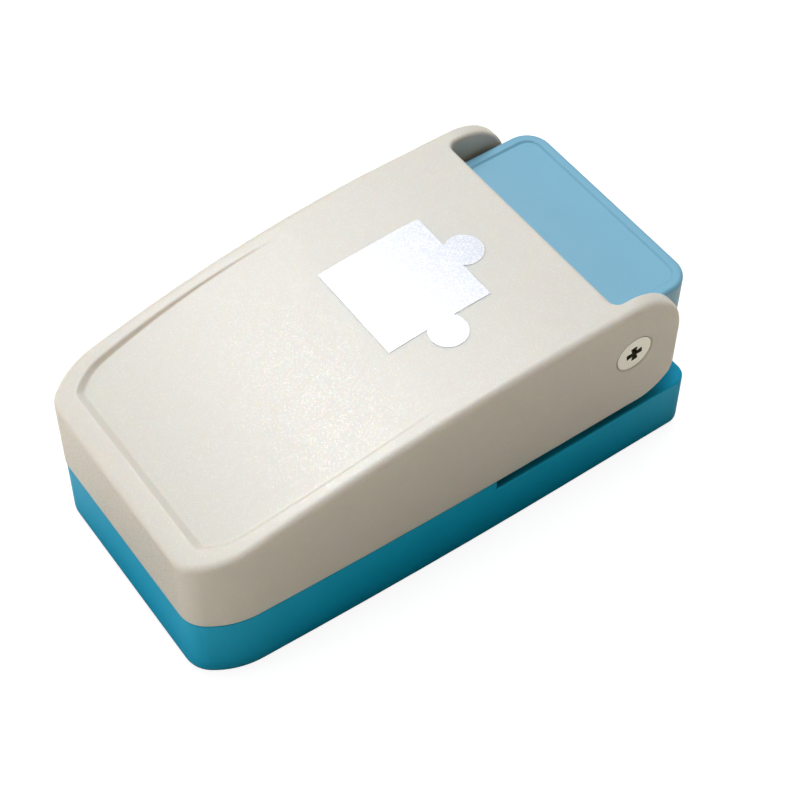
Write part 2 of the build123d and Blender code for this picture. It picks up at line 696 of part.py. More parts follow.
# Upper housing: foot on the base, roof over the throat, pivot bosses inside
with BuildPart() as upper_housing:
    with BuildSketch(Plane.YZ):
        with BuildLine():
            Polyline(
                (foot_front_y, base_top_z),
                (throat_y, base_top_z),
                (throat_y, throat_top_z),
                (rear_y, throat_top_z),
                (rear_y, housing_top_z),
                (knee_y, housing_top_z),
                (brow_y, brow_z),
                (foot_front_y, foot_top_z),
                close=True,
            )
        make_face()
    extrude(amount=housing_half_width, both=True)
    fillet(upper_housing.edges().filter_by(Axis.Z).group_by(Axis.Y)[-1], rear_corner_radius)
    roof_edges = upper_housing.faces().filter_by(Plane.XY).sort_by(Axis.Z)[-1].edges()
    fillet(roof_edges.filter_by(lambda e: e.center().Y > knee_y + 1), housing_edge_radius)
    add(foot_cavity.part, mode=Mode.SUBTRACT)
    add(punch_cavity.part, mode=Mode.SUBTRACT)
    guide_pocket_half = guide_half + fit_gap
    guide_pocket_y = (die_front_y - fit_gap, guide_rear_y + fit_gap)
    block((-guide_pocket_half, guide_pocket_half), guide_pocket_y, (shelf_z, guide_top_z), Mode.SUBTRACT)
    window_y = (window_front_y, window_rear_y)
    block((-window_half, window_half), window_y, (roof_underside_z - 1, housing_top_z + 1), Mode.SUBTRACT)
    with BuildSketch(Plane.XY.offset(housing_top_z)):
        field_front_y = knee_y + 4.0
        field_rear_y = rear_y - field_margin
        with Locations((0, (field_front_y + field_rear_y) / 2)):
            RectangleRounded(
                2 * (housing_half_width - field_margin), field_rear_y - field_front_y, field_corner_radius
            )
    extrude(amount=-field_depth, taper=degrees(atan2(field_slope, field_depth)), mode=Mode.SUBTRACT)
    insert_root_x = housing_half_width - insert_length
    tube_x((insert_root_x, half_width), pivot_y, pivot_z, insert_radius, mode=Mode.SUBTRACT)
    tube_x((-half_width, -insert_root_x), pivot_y, pivot_z, insert_radius, mode=Mode.SUBTRACT)
    for x, y in housing_screw_places:
        peg(x, y, housing_screw_radius, (shelf_z, housing_screw_top_z + 0.5), Mode.SUBTRACT)
    for x, y in guide_screw_places:
        peg(x, y, small_screw_radius, (guide_top_z - 1, guide_top_z + small_screw_reach + 1.0), Mode.SUBTRACT)
upper_housing.part.label = "upper_housing"
export_step(upper_housing.part, "parts/upper_housing.step")

# Screws from the base up into the housing's foot
with BuildPart() as housing_screws:
    for x, y in housing_screw_places:
        peg(x, y, housing_screw_radius, (housing_screw_seat_z, housing_screw_top_z))
        head_z = (housing_screw_seat_z - housing_head_height, housing_screw_seat_z)
        peg(x, y, housing_head_radius, head_z)
        with Locations((x, y, head_z[0])):
            Box(housing_cross_length, housing_cross_width, housing_head_height, mode=Mode.SUBTRACT)
            Box(housing_cross_width, housing_cross_length, housing_head_height, mode=Mode.SUBTRACT)
housing_screws.part.label = "housing_screws"
export_step(housing_screws.part, "parts/housing_screws.step")

# Threaded inserts in the pivot bosses
with BuildPart() as pivot_inserts:
    insert_x = (housing_half_width - insert_length, housing_half_width)
    tube_x(insert_x, pivot_y, pivot_z, insert_radius, thread_radius)
    mirror(about=Plane.YZ)
pivot_inserts.part.label = "pivot_inserts"
export_step(pivot_inserts.part, "parts/pivot_inserts.step")

# Washers between housing and ears
with BuildPart() as pivot_washers:
    washer_x = housing_half_width + (side_gap - washer_thickness) / 2
    washer_bore = shoulder_radius + running_gap
    tube_x((washer_x, washer_x + washer_thickness), pivot_y, pivot_z, washer_radius, washer_bore)
    mirror(about=Plane.YZ)
pivot_washers.part.label = "pivot_washers"
export_step(pivot_washers.part, "parts/pivot_washers.step")

# Pivot screws: flush flat heads, shoulders that carry the ears, threads in the inserts
ear_face_x = half_width - (pivot_z - lever_edge_z) * tan(radians(lever_draft))
head_top_x = ear_face_x - screw_head_sink
head_root_x = head_top_x - (screw_head_radius - shoulder_radius)
pivot_plane = Plane(origin=(0, pivot_y, pivot_z), x_dir=(1, 0, 0), z_dir=(0, -1, 0))
pivot_axis = Axis((0, pivot_y, pivot_z), (1, 0, 0))
with BuildPart() as pivot_screw_right:
    with BuildSketch(pivot_plane):
        with BuildLine():
            Polyline(
                (insert_x[0] + 1.0, 0),
                (head_top_x, 0),
                (head_top_x, screw_head_radius),
                (head_root_x, shoulder_radius),
                (housing_half_width, shoulder_radius),
                (housing_half_width, thread_radius),
                (insert_x[0] + 1.0, thread_radius),
                close=True,
            )
        make_face()
    revolve(axis=pivot_axis)
    with Locations((head_top_x, pivot_y, pivot_z)):
        Box(2 * cross_depth, cross_length, cross_width, rotation=(cross_turn, 0, 0), mode=Mode.SUBTRACT)
        Box(2 * cross_depth, cross_width, cross_length, rotation=(cross_turn, 0, 0), mode=Mode.SUBTRACT)
pivot_screw_right.part.label = "pivot_screw_right"
export_step(pivot_screw_right.part, "parts/pivot_screw_right.step")
with BuildPart() as pivot_screw_left:
    mirror(pivot_screw_right.part, about=Plane.YZ)
pivot_screw_left.part.label = "pivot_screw_left"
export_step(pivot_screw_left.part, "parts/pivot_screw_left.step")

# Bushes in the ears, running on the screws' shoulders
bush_radius = shoulder_radius + running_gap + bush_wall
bush_end_x = head_root_x - 0.15
with BuildPart() as pivot_bush_right:
    tube_x((ear_inner_x, bush_end_x), pivot_y, pivot_z, bush_radius, shoulder_radius + running_gap)
pivot_bush_right.part.label = "pivot_bush_right"
export_step(pivot_bush_right.part, "parts/pivot_bush_right.step")
with BuildPart() as pivot_bush_left:
    mirror(pivot_bush_right.part, about=Plane.YZ)
pivot_bush_left.part.label = "pivot_bush_left"
export_step(pivot_bush_left.part, "parts/pivot_bush_left.step")

# Hole through an ear: seat of the bush, then a cone that follows the screw's head
cone_gap = screw_head_gap * sqrt(2)
with BuildPart() as ear_hole:
    with BuildSketch(pivot_plane):
        with BuildLine():
            Polyline(
                (ear_inner_x - 1, 0),
                (half_width + 1, 0),
                (half_width + 1, shoulder_radius + half_width + 1 - head_root_x + cone_gap),
                (bush_end_x, shoulder_radius + bush_end_x - head_root_x + cone_gap),
                (bush_end_x, bush_radius),
                (ear_inner_x - 1, bush_radius),
                close=True,
            )
        make_face()
    revolve(axis=pivot_axis)

# Room under the lever: between its walls, then between its ears
with BuildPart() as lever_cavity:
    with BuildSketch(Plane.XY.offset(lever_edge_z)):
        add(lever_cavity_plan)
        with Locations((0, (lever_cavity_rear_y + ear_rear_y) / 2)):
            Rectangle(2 * ear_inner_x, ear_rear_y - lever_cavity_rear_y + 2)
    extrude(amount=lever_height)
    with BuildSketch(Plane.YZ):
        with BuildLine():
            ceiling_front = (front_y, arch_z(front_y, lever_top_thickness))
            ceiling_end = (arch_y, lever_top_z - lever_top_thickness)
            TangentArc(ceiling_end, ceiling_front, tangent=(-1, 0))
            cavity_end_y = ear_rear_y + 2
            Polyline(ceiling_front, (front_y, 0), (cavity_end_y, 0))
            Polyline((cavity_end_y, 0), (cavity_end_y, ceiling_end[1]), ceiling_end)
        make_face()
    extrude(amount=body_width, both=True, mode=Mode.INTERSECT)

# Thumb recess: a shallow tray whose floor meets the lever's top at the recess's rear end
recess_end_y = front_y + recess_front_margin + recess_length
recess_front_y = front_y + recess_front_margin
recess_rise = arch_z(recess_end_y) - arch_z(recess_front_y)
recess_tilt = atan2(recess_rise, recess_length)
floor_turn = atan2(recess_depth, recess_length)
away_y = arch_y - recess_end_y
away_z = arch_centre_z - arch_z(recess_end_y)
floor_centre_y = recess_end_y + away_y * cos(floor_turn) - away_z * sin(floor_turn)
floor_centre_z = arch_z(recess_end_y) + away_y * sin(floor_turn) + away_z * cos(floor_turn)


def floor_z(y):
    """Height of the thumb recess's floor at y."""
    return floor_centre_z + sqrt(arch_radius**2 - (y - floor_centre_y) ** 2)


recess_out = (0, -sin(recess_tilt), cos(recess_tilt))
recess_plane = Plane(origin=(0, recess_end_y, arch_z(recess_end_y)), x_dir=(1, 0, 0), z_dir=recess_out)
recess_chord = recess_length / cos(recess_tilt)
recess_half_height = recess_depth + 0.4
with BuildPart() as recess:
    for level in (recess_half_height, -recess_half_height):
        side_margin = recess_side_margin - recess_side_slope * level
        front_local = -recess_chord - recess_front_slope * level
        level_plan = body_plan(side_margin, recess_end_y + recess_rear_reach)
        with BuildSketch(recess_plane.offset(level)):
            with Locations((0, front_local - front_y - side_margin)):
                add(level_plan)
    loft(ruled=True)
    with BuildSketch(Plane.YZ):
        with BuildLine():
            floor_front = (front_y, floor_z(front_y))
            floor_rear_y = recess_end_y + 2 * recess_rear_reach
            floor_rear = (floor_rear_y, floor_z(floor_rear_y))
            floor_middle_y = (front_y + floor_rear_y) / 2
            ThreePointArc(floor_front, (floor_middle_y, floor_z(floor_middle_y)), floor_rear)
            above_z = lever_top_z + lever_height / 4
            Polyline(floor_rear, (floor_rear_y, above_z), (front_y, above_z), floor_front)
        make_face()
    extrude(amount=body_width, both=True, mode=Mode.INTERSECT)

# Notch between the ears, open to the back
with BuildPart() as notch:
    with BuildSketch(Plane.XY.offset(lever_edge_z - 1)):
        with Locations((0, notch_y + body_length / 2)):
            Rectangle(2 * ear_inner_x, body_length)
        fillet(vertices().group_by(Axis.Y)[0], notch_corner_radius)
    extrude(amount=lever_height + 2)

# Lever shell: arched moulding with two ears, hollow below
with BuildPart() as lever_shell:
    with BuildSketch(Plane.XY.offset(lever_edge_z)):
        add(lever_plan)
    with BuildSketch(Plane.XY.offset(lever_top_z)):
        add(lever_top_plan)
    loft()
    with BuildSketch(Plane.YZ):
        with BuildLine():
            corner_end = (ear_rear_y - ear_upper_radius, lever_top_z)
            Line((ear_rear_y, lever_edge_z), (ear_rear_y, lever_top_z - ear_upper_radius))
            TangentArc((ear_rear_y, lever_top_z - ear_upper_radius), corner_end, tangent=(0, 1))
            Line(corner_end, (arch_y, lever_top_z))
            TangentArc((arch_y, lever_top_z), (front_y - 1, arch_z(front_y - 1)), tangent=(-1, 0))
            ahead_y = front_y - 1
            Polyline((ahead_y, arch_z(ahead_y)), (ahead_y, lever_edge_z), (ear_rear_y, lever_edge_z))
        make_face()
    extrude(amount=body_width, both=True, mode=Mode.INTERSECT)
    crown = lever_shell.faces().filter_by(lambda f: f.normal_at().Z > 0.5)
    rim = crown.edges().sort_by(Axis.Y)
    fillet(rim.filter_by(Axis.X)[0], lever_edge_radius)
    with BuildSketch(Plane.YZ):
        with BuildLine():
            corner_start = (ear_rear_y - ear_lower_radius, lever_edge_z)
            corner_end = (ear_rear_y, lever_edge_z + ear_lower_radius)
            TangentArc(corner_start, corner_end, tangent=(1, 0))
            outside_y = ear_rear_y + 1
            below_z = lever_edge_z - 1
            Polyline(corner_end, (outside_y, corner_end[1]), (outside_y, below_z), (corner_start[0], below_z))
            Line((corner_start[0], below_z), corner_start)
        make_face()
    extrude(amount=body_width, both=True, mode=Mode.SUBTRACT)
    add(lever_cavity.part, mode=Mode.SUBTRACT)
    add(notch.part, mode=Mode.SUBTRACT)
    top_edges = lever_shell.edges().filter_by_position(Axis.Z, lever_top_z - 0.01, lever_top_z + 0.01)
    notch_edges = top_edges.filter_by(lambda e: e.center().Y > notch_y - 0.1)
    fillet(notch_edges.filter_by(lambda e: abs(e.center().X) < ear_inner_x + 0.1), ear_edge_radius)
    add(recess.part, mode=Mode.SUBTRACT)
    recess_rim = lever_shell.edges().filter_by(Axis.X).filter_by_position(
        Axis.Y, recess_front_y - 0.5, recess_front_y + 0.5
    )
    fillet(recess_rim.sort_by(Axis.Z)[-1], recess_edge_radius)
    for side in (-1, 1):
        with BuildSketch(Plane.YZ.offset(side * lever_rib_x - lever_rib_thickness / 2)):
            with BuildLine():
                rib_front_y = front_y + 8.0
                rib_rear_y = press_bar_y - eye_radius
                rib_middle_y = (rib_front_y + rib_rear_y) / 2
                root = lever_top_thickness - 0.5
                tip = lever_top_thickness + lever_rib_depth
                ThreePointArc(
                    (rib_front_y, arch_z(rib_front_y, root)),
                    (rib_middle_y, arch_z(rib_middle_y, root)),
                    (rib_rear_y, arch_z(rib_rear_y, root)),
                )
                Line((rib_rear_y, arch_z(rib_rear_y, root)), (rib_rear_y, arch_z(rib_rear_y, tip)))
                ThreePointArc(
                    (rib_rear_y, arch_z(rib_rear_y, tip)),
                    (rib_middle_y, arch_z(rib_middle_y, tip)),
                    (rib_front_y, arch_z(rib_front_y, tip)),
                )
                Line((rib_front_y, arch_z(rib_front_y, tip)), (rib_front_y, arch_z(rib_front_y, root)))
            make_face()
            with BuildLine():
                Polyline(
                    (press_bar_y - eye_radius, press_bar_z),
                    (press_bar_y + eye_radius, press_bar_z),
                    (press_bar_y + eye_radius + 3.1, lever_top_z - root),
                    (press_bar_y - eye_radius - 2.0, lever_top_z - root),
                    close=True,
                )
            make_face()
            with Locations((press_bar_y, press_bar_z)):
                Circle(eye_radius)
                Circle(press_bar_radius, mode=Mode.SUBTRACT)
        extrude(amount=lever_rib_thickness)
    lip_y = (front_y + lever_wall - 0.5, lock_lip_y)
    block((-lock_width / 2, lock_width / 2), lip_y, (lock_lip_z, lock_lip_z + lock_lip_height))
    add(ear_hole.part, mode=Mode.SUBTRACT)
    mirror(ear_hole.part, about=Plane.YZ, mode=Mode.SUBTRACT)
lever_shell.part.label = "lever_shell"
export_step(lever_shell.part, "parts/lever_shell.step")

# Press bar: steel pin through the two ribs
with BuildPart() as press_bar:
    tube_x((-press_bar_length / 2, press_bar_length / 2), press_bar_y, press_bar_z, press_bar_radius)
    chamfer(press_bar.edges().filter_by(GeomType.CIRCLE), 0.4)
press_bar.part.label = "press_bar"
export_step(press_bar.part, "parts/press_bar.step")

# Emblem: thin foil in the shape of the piece, lying on the arch
with BuildPart() as emblem:
    with BuildSketch(Plane.XY.offset(lever_edge_z)):
        with Locations((emblem_offset_x, front_y + emblem_from_front)):
            add(piece_plan)
    extrude(amount=lever_height + 1)
    with BuildSketch(Plane.YZ):
        with BuildLine():
            foil_front_y = front_y + emblem_from_front - puzzle_span
            foil_rear_y = front_y + emblem_from_front + puzzle_span
            foil_middle_y = (foil_front_y + arch_y) / 2
            bottom = [(y, arch_z(y)) for y in (foil_front_y, foil_middle_y, arch_y)]
            top = [(y, arch_z(y, -emblem_thickness)) for y in (arch_y, foil_middle_y, foil_front_y)]
            foil_top_z = lever_top_z + emblem_thickness
            ThreePointArc(*bottom)
            Polyline(bottom[-1], (foil_rear_y, lever_top_z), (foil_rear_y, foil_top_z), top[0])
            ThreePointArc(*top)
            Line(top[-1], bottom[0])
        make_face()
    extrude(amount=body_width, both=True, mode=Mode.INTERSECT)
emblem.part.label = "emblem"
export_step(emblem.part, "parts/emblem.step")

# Lock slider: plate between the base's ribs, post and nose up through the deck, finger pad below
with BuildPart() as lock_slider:
    lock_plate_x = (-lock_plate_half, lock_plate_half)
    lock_post_x = (-lock_post_half, lock_post_half)
    lock_nose_top_z = lock_nose_z + lock_nose_height
    block(lock_plate_x, (lock_plate_front_y, lock_plate_rear_y), (lock_plate_z, lock_plate_top_z))
    block(lock_post_x, (lock_post_y, lock_post_rear_y), (lock_plate_z, lock_nose_top_z))
    block(lock_post_x, (lock_nose_y, lock_post_rear_y), (lock_nose_z, lock_nose_top_z))
    lock_pad_y = (lock_pad_front_y, lock_pad_rear_y)
    block((-lock_width / 2, lock_width / 2), lock_pad_y, (base_bottom_z + 0.4, lock_plate_top_z))
lock_slider.part.label = "lock_slider"
export_step(lock_slider.part, "parts/lock_slider.step")
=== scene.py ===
"""The looks of a lever punch that cuts jigsaw pieces: cream arched lever, blue base and housing.

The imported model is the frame. Everything is in metres, +Z up, +Y to the back, +X to the right.
"""
import math

import bmesh
import bpy
from mathutils import Matrix, Vector


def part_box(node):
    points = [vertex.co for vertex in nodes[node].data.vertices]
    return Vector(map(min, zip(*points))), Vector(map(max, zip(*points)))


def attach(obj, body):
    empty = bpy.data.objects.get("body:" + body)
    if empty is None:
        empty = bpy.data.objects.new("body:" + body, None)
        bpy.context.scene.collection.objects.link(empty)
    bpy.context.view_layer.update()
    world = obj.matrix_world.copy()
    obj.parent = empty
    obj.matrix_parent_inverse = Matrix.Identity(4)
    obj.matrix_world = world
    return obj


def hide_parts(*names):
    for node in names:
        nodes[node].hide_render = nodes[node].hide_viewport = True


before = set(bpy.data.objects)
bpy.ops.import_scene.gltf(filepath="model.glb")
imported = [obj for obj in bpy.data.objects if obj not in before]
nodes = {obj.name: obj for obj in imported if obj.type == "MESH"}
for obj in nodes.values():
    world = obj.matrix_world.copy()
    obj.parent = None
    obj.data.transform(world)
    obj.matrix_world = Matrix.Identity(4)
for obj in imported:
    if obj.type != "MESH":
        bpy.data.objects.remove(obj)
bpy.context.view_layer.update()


# Lever shell
# One injection moulding in cream acetal with a pearly flake in the resin: the arched top with its
# thumb tray, the walls and both ears. Light sinks a little way in. Its shallow creases are also
# painted lighter and warm, its deep hollows painted a warm shade, and its narrowest gaps painted dark.
class Level:
    """A number or colour that changes over a surface, with sums written as Python expressions."""

    def __init__(self, finish, socket):
        self.finish = finish
        self.socket = socket

    def _maths(self, operation, *values):
        return self.finish.add("ShaderNodeMath", {"operation": operation}, dict(enumerate(values)))

    def __add__(self, other):
        return self._maths("ADD", self, other)

    __radd__ = __add__

    def __mul__(self, other):
        return self._maths("MULTIPLY", self, other)

    __rmul__ = __mul__

    def __sub__(self, other):
        return self._maths("SUBTRACT", self, other)

    def __rsub__(self, other):
        return self._maths("SUBTRACT", other, self)

    def __pow__(self, other):
        return self._maths("POWER", self, other)

    def ramp(self, low, high):
        """0 below low, 1 above high, smooth between them."""
        values = {"Value": self, "From Min": low, "From Max": high}
        return self.finish.add("ShaderNodeMapRange", {"interpolation_type": "SMOOTHSTEP"}, values)


class Finish:
    """One material and its shader, filled in with plain steps."""

    def __init__(self, name, colour, roughness, **sockets):
        self.material = bpy.data.materials.new(name)
        self.material.use_nodes = True
        self.tree = self.material.node_tree
        self.shader = self.tree.nodes["Principled BSDF"]
        self.shader.inputs["Base Color"].default_value = (*colour, 1.0)
        self.shader.inputs["Roughness"].default_value = roughness
        for socket, value in sockets.items():
            self.shader.inputs[socket.replace("_", " ")].default_value = value
        self.place = self.add("ShaderNodeTexCoord", {}, {}, "Object")

    def add(self, kind, settings, values, output=0):
        """A node of that kind: its settings first, then the values or links of its sockets."""
        node = self.tree.nodes.new(kind)
        for name, value in settings.items():
            setattr(node, name, value)
        for socket, value in values.items():
            if isinstance(value, Level):
                self.tree.links.new(value.socket, node.inputs[socket])
            else:
                node.inputs[socket].default_value = value
        return Level(self, node.outputs[output])

    def split(self, vector):
        """The X, Y and Z of a place, or the red, green and blue of a colour."""
        return [self.add("ShaderNodeSeparateXYZ", {}, {0: vector}, axis) for axis in range(3)]

    def drawn_out(self, x, y, z):
        """The place, with a pattern on it that many times finer along each axis."""
        return self.add("ShaderNodeMapping", {}, {"Vector": self.place, "Scale": (x, y, z)})

    def noise(self, size, detail=2.0, roughness=0.5, place=None):
        """Cloudy noise, 0 to 1, with patches of that size in metres."""
        values = {
            "Vector": place or self.place, "Scale": 1.0 / size, "Detail": detail, "Roughness": roughness,
        }
        return self.add("ShaderNodeTexNoise", {}, values)

    def cells(self, size):
        """Random cells of that size in metres, each with a colour of its own."""
        values = {"Vector": self.place, "Scale": 1.0 / size}
        return self.add("ShaderNodeTexVoronoi", {}, values, "Color")

    def blend(self, amount, low, high):
        """A colour between low and high."""
        values = {"Factor": amount}
        for socket, colour in ((6, low), (7, high)):
            values[socket] = colour if isinstance(colour, Level) else (*colour, 1.0)
        return self.add("ShaderNodeMix", {"data_type": "RGBA"}, values, 2)

    def crease(self, reach):
        """1 on open surfaces and lower in gaps and corners narrower than reach."""
        return self.add("ShaderNodeAmbientOcclusion", {"samples": 6}, {"Distance": reach}, "AO")

    def bump(self, height, depth, edge=0.0):
        """Relief: height runs from 0 to 1, depth is its real height. edge softens sharp corners."""
        values = {"Strength": 1.0, "Distance": depth, "Height": height}
        if edge:
            values["Normal"] = self.add("ShaderNodeBevel", {"samples": 4}, {"Radius": edge})
        self.feed("Normal", self.add("ShaderNodeBump", {}, values))

    def feed(self, socket, level):
        """That socket of the shader takes the level."""
        self.tree.links.new(level.socket, self.shader.inputs[socket])


def wear(finish, *names):
    """The named CAD nodes or new pieces wear that finish."""
    for name in names:
        piece = nodes.get(name) or bpy.data.objects[name]
        piece.data.materials.clear()
        piece.data.materials.append(finish.material)


flake_size = 0.0002
painted_crease_reach = 0.0012
painted_hollow_reach = 0.02
painted_gap_shade = (0.15, 0.12, 0.05)
painted_crease_light = (0.97, 0.87, 0.72)
painted_hollow_shade = (0.74, 0.59, 0.43)
cream = Finish(
    "cream_pearl", (0.76, 0.72, 0.64), 0.40, Coat_Weight=0.2, Coat_Roughness=0.28,
    Subsurface_Weight=0.6, Subsurface_Radius=(1.0, 0.6, 0.35), Subsurface_Scale=0.0028,
)
flake = cream.split(cream.cells(flake_size))
sparkle = flake[0].ramp(0.80, 0.98)
cloud = cream.noise(0.004, detail=3.0, roughness=0.6)
pearl = cream.blend(cloud, (0.750, 0.71, 0.63), (0.775, 0.735, 0.66))
pearl = cream.blend(sparkle * 0.45, pearl, (0.98, 0.97, 0.95))
# Painted light and shade: crease walls are painted a lighter warm cream, the narrowest gaps dark.
painted_crease_mask = cream.crease(painted_crease_reach)
pearl = cream.blend(painted_crease_mask.ramp(0.6, 0.98), painted_crease_light, pearl)
# Painted shade: deep hollows, such as the lever's inside, are painted a darker warm tone.
pearl = cream.blend(cream.crease(painted_hollow_reach).ramp(0.35, 0.85), painted_hollow_shade, pearl)
cream.feed("Base Color", cream.blend(painted_crease_mask.ramp(0.1, 0.4), painted_gap_shade, pearl))
cream.feed("Roughness", 0.42 - sparkle * 0.22 + (cloud - 0.5) * 0.08)
cream.bump(cream.noise(0.0005) * 0.5 + flake[1] * 0.5, depth=0.000014, edge=0.0008)
wear(cream, "lever_shell")

# Emblem
# Sparkling silver foil sticker, die-cut in the shape of the piece that the punch makes and stuck
# to the lever's top. Each speck of the foil has its own tint and gloss.
speck_size = 0.00018
foil = Finish("sparkling_foil", (0.72, 0.73, 0.77), 0.42, Metallic=0.3)
speck = foil.split(foil.cells(speck_size))
foil_colour = foil.blend(speck[0].ramp(0.5, 1.0), (0.62, 0.63, 0.68), (0.86, 0.87, 0.91))
foil.feed("Base Color", foil_colour)
foil.feed("Roughness", 0.5 - speck[1] * 0.2)
foil.bump(speck[2], depth=0.000006)
wear(foil, "emblem")

# Base shell
# Deep blue-green polypropylene moulding, finely spark-eroded all over. Its colour is painted darker
# as shade where little light comes in: in the throat, under the lever's edge and along its foot.
blue_grain = 0.00035
painted_shade_reach = 0.006
teal_painted_shade = (0.0, 0.10, 0.14)
teal = Finish(
    "base_blue", (0.001, 0.45, 0.75), 0.42,
    Specular_IOR_Level=0.35, Specular_Tint=(0.4, 0.9, 1.0, 1.0),
)
teal_cloud = teal.noise(0.006, detail=3.0, roughness=0.55)
teal_skin = teal.blend(teal_cloud, (0.001, 0.43, 0.72), (0.002, 0.47, 0.78))
# Painted shade: darker blue in the throat, under the lever's edge and along the foot.
teal_painted_shade_mask = teal.crease(painted_shade_reach).ramp(0.3, 0.95)
teal.feed("Base Color", teal.blend(teal_painted_shade_mask, teal_painted_shade, teal_skin))
teal.feed("Roughness", 0.40 + teal_cloud * 0.08)
teal.bump(teal.noise(blue_grain), depth=0.000008, edge=0.0003)
wear(teal, "base_shell")

# Upper housing
# Moulded like the base, in a lighter and glossier shade, with a smooth field let into its top.
# Four screws from below hold it on the base, ahead of the throat.
sky = Finish(
    "housing_blue", (0.21, 0.49, 0.66), 0.42,
    Specular_IOR_Level=0.4, Coat_Weight=0.3, Coat_Roughness=0.18,
)
sky_cloud = sky.noise(0.006, detail=3.0, roughness=0.55)
sky.feed("Base Color", sky.blend(sky_cloud, (0.20, 0.475, 0.645), (0.22, 0.505, 0.675)))
sky.feed("Roughness", 0.36 + sky_cloud * 0.08)
sky.bump(sky.noise(blue_grain), depth=0.000006, edge=0.00025)
wear(sky, "upper_housing")

# Base cover
# Flat plate moulded in a darker shade with a coarser grain, screwed under the base. The chips fall
# out through its window.
dark = Finish("cover_blue", (0.01, 0.15, 0.22), 0.6)
dark_cloud = dark.noise(0.005, detail=3.0, roughness=0.6)
dark.feed("Base Color", dark.blend(dark_cloud, (0.008, 0.135, 0.20), (0.014, 0.165, 0.24)))
dark.bump(dark.noise(0.0004), depth=0.00002)
wear(dark, "base_cover")

# Pivot screws
# Flush countersunk screws of steel, painted cream, with a Phillips recess. The recess is coloured
# near black as painted shade, and the head's rim is painted dark as shade. Each runs through a
# bush in its ear into a brass insert.
pivot_y = 0.0448
pivot_z = 0.0377
shank_radius = 0.0020
tip_chamfer = 0.0004
collar_radius = 0.0030
collar_start_x = 0.0288
head_radius = 0.00465
head_depth = 0.00165
pivot_recess = (0.00212, 0.00064, 0.00086, 0.0014)
pivot_recess_turn = math.radians(8)
painted = Finish("screw_paint", (0.96, 0.95, 0.88), 0.35, Metallic=0.6)
paint_cloud = painted.noise(0.0015, detail=3.0, roughness=0.6)
paint_skin = painted.blend(paint_cloud, (0.94, 0.93, 0.85), (0.98, 0.97, 0.90))
# Painted shade: the paint goes dark round the head's rim and the edges of its recess.
screw_painted_shade_mask = painted.crease(0.0006).ramp(0.3, 0.85)
painted.feed("Base Color", painted.blend(screw_painted_shade_mask, (0.12, 0.10, 0.04), paint_skin))
painted.feed("Roughness", 0.32 + paint_cloud * 0.12)
# Painted shade: the cross recesses of the pivot and cover screws are coloured near black.
recess_painted_shade = Finish("recess_painted_shade", (0.05, 0.045, 0.025), 0.45, Metallic=0.3)
recess_painted_shade.feed("Roughness", 0.35 + recess_painted_shade.noise(0.0004) * 0.3)
recess_shade_tone = recess_painted_shade.blend(recess_painted_shade.noise(0.0006), (0.03, 0.027, 0.012), (0.09, 0.08, 0.045))
recess_painted_shade.feed("Base Color", recess_shade_tone)


def cross_screw(name, outline, recess, turn, places, finish, recess_finish):
    """Screws with a Phillips recess, one at each place, as one piece.

    outline runs from the tip to the head's rim, as (height, radius). recess is the reach of an arm
    of the cross, half the width of its waist, half the width of an arm, and the cross's depth.
    """
    arm, waist, flare, depth = recess
    shoulder = arm * 0.92
    arm_end = flare * 0.7
    arm_outline = ((waist, -waist), (shoulder, -flare), (arm, -arm_end), (arm, arm_end), (shoulder, flare))
    bottom_share = 0.45
    shape = bmesh.new()
    corners = [shape.verts.new((radius, 0, height)) for height, radius in outline]
    lines = [shape.edges.new(pair) for pair in zip(corners, corners[1:])]
    bmesh.ops.spin(
        shape, geom=corners + lines, cent=(0, 0, 0), axis=(0, 0, 1), angle=2 * math.pi, steps=64,
        use_merge=True,
    )
    bmesh.ops.remove_doubles(shape, verts=shape.verts, dist=1e-7)
    top = outline[-1][0]
    ends = [line for line in shape.edges if line.is_boundary]
    rim = [line for line in ends if min(corner.co.z for corner in line.verts) > top - 1e-6]
    mouth = []
    for quarter in range(4):
        spot = Matrix.Rotation(quarter * math.pi / 2, 3, "Z")
        for x, y in arm_outline:
            mouth.append(shape.verts.new(spot @ Vector((x, y, top))))
    edge = [shape.edges.new((corner, mouth[i - 1])) for i, corner in enumerate(mouth)]
    bmesh.ops.triangle_fill(shape, edges=rim + edge, use_beauty=True, normal=(0, 0, 1))
    wall = bmesh.ops.extrude_edge_only(shape, edges=edge)["geom"]
    sunk = [item for item in wall if isinstance(item, bmesh.types.BMVert)]
    deep = [item for item in wall if isinstance(item, bmesh.types.BMEdge)]
    bmesh.ops.scale(shape, vec=(bottom_share, bottom_share, 1), verts=sunk)
    bmesh.ops.translate(shape, vec=(0, 0, -depth), verts=sunk)
    bottom = bmesh.ops.triangle_fill(shape, edges=deep, use_beauty=True, normal=(0, 0, 1))["geom"]
    bmesh.ops.holes_fill(shape, edges=[line for line in shape.edges if line.is_boundary], sides=0)
    bmesh.ops.recalc_face_normals(shape, faces=shape.faces)
    for item in wall + bottom:
        if isinstance(item, bmesh.types.BMFace):
            item.material_index = 1
    bmesh.ops.rotate(shape, verts=shape.verts, cent=(0, 0, 0), matrix=Matrix.Rotation(turn, 3, "Z"))
    mesh = bpy.data.meshes.new(name)
    shape.to_mesh(mesh)
    shape.clear()
    for place in places:
        one = bmesh.new()
        one.from_mesh(mesh)
        bmesh.ops.transform(one, matrix=place, verts=one.verts)
        placed = bpy.data.meshes.new(name)
        one.to_mesh(placed)
        one.free()
        shape.from_mesh(placed)
        bpy.data.meshes.remove(placed)
    shape.to_mesh(mesh)
    shape.free()
    piece = bpy.data.objects.new(name, mesh)
    bpy.context.scene.collection.objects.link(piece)
    mesh.materials.append(finish.material)
    mesh.materials.append(recess_finish.material)
    return piece


